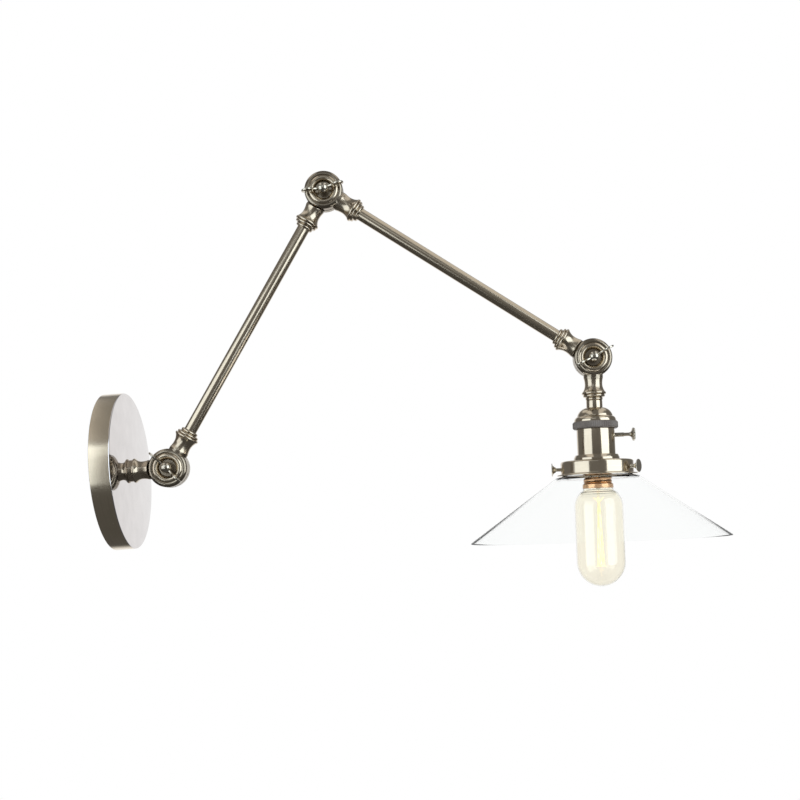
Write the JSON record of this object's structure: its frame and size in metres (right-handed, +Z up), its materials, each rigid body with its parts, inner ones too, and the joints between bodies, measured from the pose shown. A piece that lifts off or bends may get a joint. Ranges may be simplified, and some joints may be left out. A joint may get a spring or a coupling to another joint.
{
  "type": "articulating wall lamp",
  "caption": "Brass wall lamp: round wall plate, folding tube arms on round knuckles with wing screws, switched lamp holder, flat-cone clear glass shade and tubular filament bulb.",
  "frame": {"origin": "centre of the wall plate, on the wall's surface", "axes": "+X out of the wall, +Z up, -Y towards the side that the wing screws face"},
  "size_m": [0.5639, 0.24, 0.4024],
  "materials": {
    "brass": "aged, brushed and lacquered",
    "plate_brass": "aged, polished",
    "steel": "zinc plated",
    "fibre": "vulcanised fibre",
    "insulator": "moulded, matt",
    "ceramic": "unglazed",
    "contact_brass": "drawn, bright",
    "shade_glass": "clear, pressed",
    "bulb_glass": "clear, blown, faint amber",
    "filament": "glowing wire",
    "flex": "sheathed cord"
  },
  "bodies": {
    "base": {"wall_bracket": "steel", "nipple_nuts": "steel", "wall_nipple": "steel", "earth_screw": "steel", "terminal_block": "insulator", "back_plate": "plate_brass", "wall_stub": "brass", "shoulder_washer": "fibre", "shoulder_nut": "steel", "base_flex": "flex"},
    "lower_arm": {"lower_arm_shoulder_end": "brass", "lower_arm_inner_collar": "brass", "lower_arm_tube": "brass", "lower_arm_outer_collar": "brass", "lower_arm_elbow_end": "brass", "elbow_washer": "fibre", "elbow_nut": "steel", "lower_arm_flex": "flex"},
    "upper_arm": {"upper_arm_elbow_end": "brass", "upper_arm_inner_collar": "brass", "upper_arm_tube": "brass", "upper_arm_outer_collar": "brass", "upper_arm_head_end": "brass", "head_washer": "fibre", "head_nut": "steel", "upper_arm_flex": "flex"},
    "head": {"head_knuckle": "brass", "head_collar": "brass", "head_coupler": "brass", "head_nipple": "steel", "holder_nut": "steel", "holder_cap": "brass", "holder_ring": "insulator", "holder_barrel": "brass", "switch_body": "ceramic", "shade_ring": "brass", "holder_skirt": "insulator", "lamp_shell": "contact_brass", "centre_contact": "contact_brass", "gallery": "brass", "gallery_nut": "brass", "glass_shade": "shade_glass", "bulb_glass": "bulb_glass", "bulb_insulator": "ceramic", "bulb_cap": "contact_brass", "bulb_contact": "contact_brass", "bulb_stem": "bulb_glass", "filament": "filament", "head_flex": "flex"},
    "shoulder_wing_screw": {"shoulder_wing_screw": "brass"},
    "elbow_wing_screw": {"elbow_wing_screw": "brass"},
    "head_wing_screw": {"head_wing_screw": "brass"},
    "switch_knob": {"switch_knob": "brass"},
    "shade_screw_right": {"shade_screw_right": "brass"},
    "shade_screw_left": {"shade_screw_left": "brass"},
    "shade_screw_back": {"shade_screw_back": "brass"}
  },
  "joints": [
    {"name": "shoulder", "type": "hinge", "parent": "base", "child": "lower_arm", "pos_m": [0.0525, 0, 0], "axis": [0, -1, 0], "range_deg": [-97, 33]},
    {"name": "elbow", "type": "hinge", "parent": "lower_arm", "child": "upper_arm", "pos_m": [0.21219, 0, 0.24685], "axis": [0, -1, 0], "range_deg": [-25, 93]},
    {"name": "head_tilt", "type": "hinge", "parent": "upper_arm", "child": "head", "pos_m": [0.44974, 0, 0.07362], "axis": [0, -1, 0], "range_deg": [-62, 116]},
    {"name": "shoulder_screw_turn", "type": "hinge", "parent": "base", "child": "shoulder_wing_screw", "pos_m": [0.0525, 0, 0], "axis": [0, -1, 0], "range_deg": [0, 180]},
    {"name": "elbow_screw_turn", "type": "hinge", "parent": "lower_arm", "child": "elbow_wing_screw", "pos_m": [0.21219, 0, 0.24685], "axis": [0, -1, 0], "range_deg": [0, 180]},
    {"name": "head_screw_turn", "type": "hinge", "parent": "upper_arm", "child": "head_wing_screw", "pos_m": [0.44974, 0, 0.07362], "axis": [0, -1, 0], "range_deg": [0, 180]},
    {"name": "switch_turn", "type": "hinge", "parent": "head", "child": "switch_knob", "pos_m": [0.44723, 0, 0.00162], "axis": [0.9994, 0, -0.0349], "continuous": true},
    {"name": "right_shade_screw_turn", "type": "hinge", "parent": "head", "child": "shade_screw_right", "pos_m": [0.44617, 0, -0.02876], "axis": [0.8285, -0.5592, -0.0289], "range_deg": [0, 720]},
    {"name": "left_shade_screw_turn", "type": "hinge", "parent": "head", "child": "shade_screw_left", "pos_m": [0.44617, 0, -0.02876], "axis": [-0.9897, 0.1392, 0.0346], "range_deg": [0, 720]},
    {"name": "back_shade_screw_turn", "type": "hinge", "parent": "head", "child": "shade_screw_back", "pos_m": [0.44617, 0, -0.02876], "axis": [0.3582, 0.9336, -0.0125], "range_deg": [0, 720]}
  ]
}
